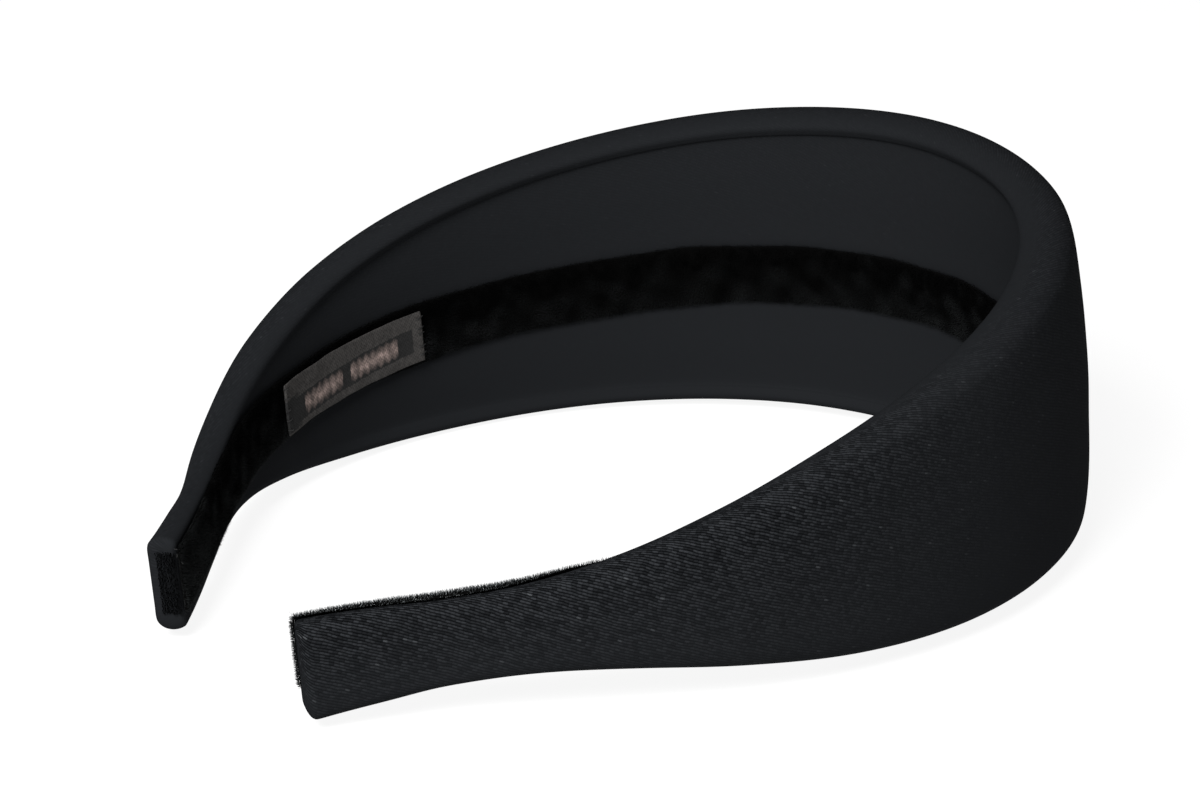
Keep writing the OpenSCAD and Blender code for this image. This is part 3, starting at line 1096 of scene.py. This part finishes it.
def lozenges(tree, u, v, first, last, count):
    """A run of soft lozenges from first to last; each is strongest where its two shares add up to least."""
    share = calc(tree, "MULTIPLY", calc(tree, "SUBTRACT", u, first), count / (last - first))
    along_one = calc(tree, "ABSOLUTE", calc(tree, "MULTIPLY_ADD", calc(tree, "FRACT", share), 2.0, -1.0))
    across_one = calc(tree, "DIVIDE", v, run_half)
    shares = calc(tree, "MULTIPLY_ADD", along_one, lozenge_narrow, across_one)
    strength = ramp(tree, calc(tree, "SUBTRACT", lozenge_full, shares), 0.0, lozenge_soft)
    return calc(tree, "MULTIPLY", within(tree, share, 0.0, float(count)), strength)


def woven():
    """The label's weave: fine ribs both ways, a pale ground, a dark panel and two runs of lozenges."""
    material, tree, shader = finish_named("label_weave", Roughness=0.85, Specular_IOR_Level=0.02)
    place = put(tree, "UVMap", uv_map="cloth").outputs[0]
    place = vector(tree, "SUBTRACT", place, (label_from, 0, 0))
    place = wandering(tree, vector(tree, "MULTIPLY", place, (-1000, 1000, 0)), *label_wander)
    parts = put(tree, "SeparateXYZ", {0: place}).outputs
    u = parts[0]
    v = calc(tree, "ADD", parts[1], middle_drop)
    off_middle = calc(tree, "ABSOLUTE", v)
    runs = calc(tree, "ADD", *(lozenges(tree, u, off_middle, *run) for run in runs_at))
    worn = put(tree, "TexNoise", {"Vector": place, "Scale": worn_scale, "Detail": 1.0}).outputs["Fac"]
    runs = calc(tree, "MULTIPLY", runs, ramp(tree, worn, *worn_range))
    panel = calc(tree, "LESS_THAN", off_middle, panel_half)
    panel = calc(tree, "MULTIPLY", panel, within(tree, u, *panel_ends))
    end = calc(tree, "LESS_THAN", off_middle, dark_end_half)
    end = calc(tree, "MULTIPLY", ramp(tree, u, *dark_end), end)
    colour = blend(tree, calc(tree, "MAXIMUM", panel, end), label_pale, label_dark)
    colour = blend(tree, runs, colour, label_dusty)
    # Darker in the hollows of the ribs, a painted shade, and in random patches, a mottled tone of the tape.
    ribs = [calc(tree, "SINE", calc(tree, "MULTIPLY", w, 2 * math.pi / rib_gap)) for w in (u, v)]
    weave = calc(tree, "MULTIPLY", *ribs)
    patches = put(tree, "TexNoise", {"Vector": place, "Scale": patch_scale, "Detail": 2.0}).outputs["Fac"]
    shade = calc(tree, "MULTIPLY_ADD", weave, rib_shade, ramp(tree, patches, *patch_range))
    bump = put(tree, "Bump", {"Height": weave, "Distance": rib_relief, "Strength": 0.6}).outputs[0]
    wire(tree, shader, Base_Color=blend(tree, shade, label_shadow, colour), Normal=bump)
    return material


label.data.materials.append(woven())
print("label:", len(label.data.polygons), "faces")

# %% [markdown]
# Last come the threads: a few stitches that hold the label's short ends, and the frayed ends of the
# ribbon, which show as pale hairs at the tips. Each is a closed round thread along a path, and one helper
# makes a whole bundle at once. A curve object with a bevel would do the same for one thread, but not for
# many in one array.

# %% Threads
# The scatter, slant, reach, curl and lift are in mm
stitch_count = 5
stitch_radius = 0.11 * MM
stitch_row = 0.38
stitch_arch = 0.32 * MM
stitch_scatter = 0.25
stitch_slant = (0.25, 0.2)
stitch_tone = 0.010
stitch_ends = ((1.3 * MM, -0.5 * MM), (37.2 * MM, 39.0 * MM))
fray_radius = 0.026 * MM
fray_root = 1.0 * MM
fray_reach = (0.5, 1.5)
fray_curl = 0.5
fray_lift = (0.1, 0.8)
fray_tone = 0.09
near_frays = (-1, 34, 2.0 * MM, 8.6 * MM)
far_frays = (1, 3, 3.0 * MM, 6.0 * MM)


def thread_bundle(name, paths, radius, sides=6):
    """Closed round threads in one mesh, one along each path; paths has a row of points for each thread.

    The ring round each point lies across the path. A thread tapers to half its radius at both ends.
    """
    count, steps = paths.shape[:2]
    way = unit(np.gradient(paths, axis=1))
    side = unit(np.cross(way, np.where(np.abs(way[..., 2:]) > 0.8, [1.0, 0, 0], [0, 0, 1.0])))
    over = np.cross(way, side)
    turn = np.arange(sides) * 2 * np.pi / sides
    taper = np.interp(np.linspace(0, 1, steps), [0, 0.2, 0.8, 1], [0.5, 1, 1, 0.5])
    ring = np.cos(turn)[:, None] * side[:, :, None] + np.sin(turn)[:, None] * over[:, :, None]
    points = (paths[:, :, None] + radius * taper[None, :, None, None] * ring).reshape(-1, 3)
    first = np.arange(count)[:, None, None] * steps * sides
    sleeves = (ring_quads(steps, sides) + first).reshape(-1, 4)
    ends = (np.arange(sides)[::-1], np.arange(sides) + (steps - 1) * sides)
    caps = np.concatenate([end + first[:, 0] for end in ends])
    return new_piece(name, points, [sleeves, caps])


def label_stitches():
    """Short dark stitches at the label's ends: each dips into the tape and runs down over its end."""
    step = np.linspace(0, 1, 7)
    paths = []
    for u_in, u_out in stitch_ends:
        v = np.linspace(-stitch_row, stitch_row, stitch_count) * label_wide
        v = v + rng.normal(0, stitch_scatter, stitch_count) * MM
        slant = rng.normal(*stitch_slant, (stitch_count, 1)) * MM
        s = label_from - (u_in + (u_out - u_in) * step)
        lift = label_lift + stitch_arch * np.sin(np.pi * np.minimum(step + 0.12, 0.9))
        paths.append(over_face(s, ribbon_middle(s) + v[:, None] + slant * step, lift))
    return np.concatenate(paths)


def frayed_paths(side, count, y_low, y_high):
    """Hairs that start in the ribbon's cut end and wander out past the tip."""
    step = np.linspace(0, 1, 9)
    reach = rng.uniform(*fray_reach, (count, 1)) * MM
    curl = rng.normal(0, fray_curl, (count, 2, 1)) * MM
    s = side * (arm_length - fray_root + reach * step)
    lift = rng.uniform(*fray_lift, (count, 1)) * MM + curl[:, 0] * step**2
    y = rng.uniform(y_low, y_high, (count, 1)) + curl[:, 1] * step**2
    return over_face(s, y, lift)


stitches = thread_bundle("label_stitches", label_stitches(), stitch_radius)
frays = np.concatenate([frayed_paths(*near_frays), frayed_paths(*far_frays)])
frayed = thread_bundle("frayed_ends", frays, fray_radius, sides=5)
for piece, tone in ((stitches, stitch_tone), (frayed, fray_tone)):
    look = dict(Roughness=0.6, Specular_IOR_Level=0.3, Base_Color=grey(tone))
    piece.data.materials.append(finish_named(piece.name + "_thread", **look)[0])

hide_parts("velvet_ribbon")
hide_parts("label")
for piece in (ground, near_pile, far_pile, label, stitches, frayed):
    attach(piece, "root")
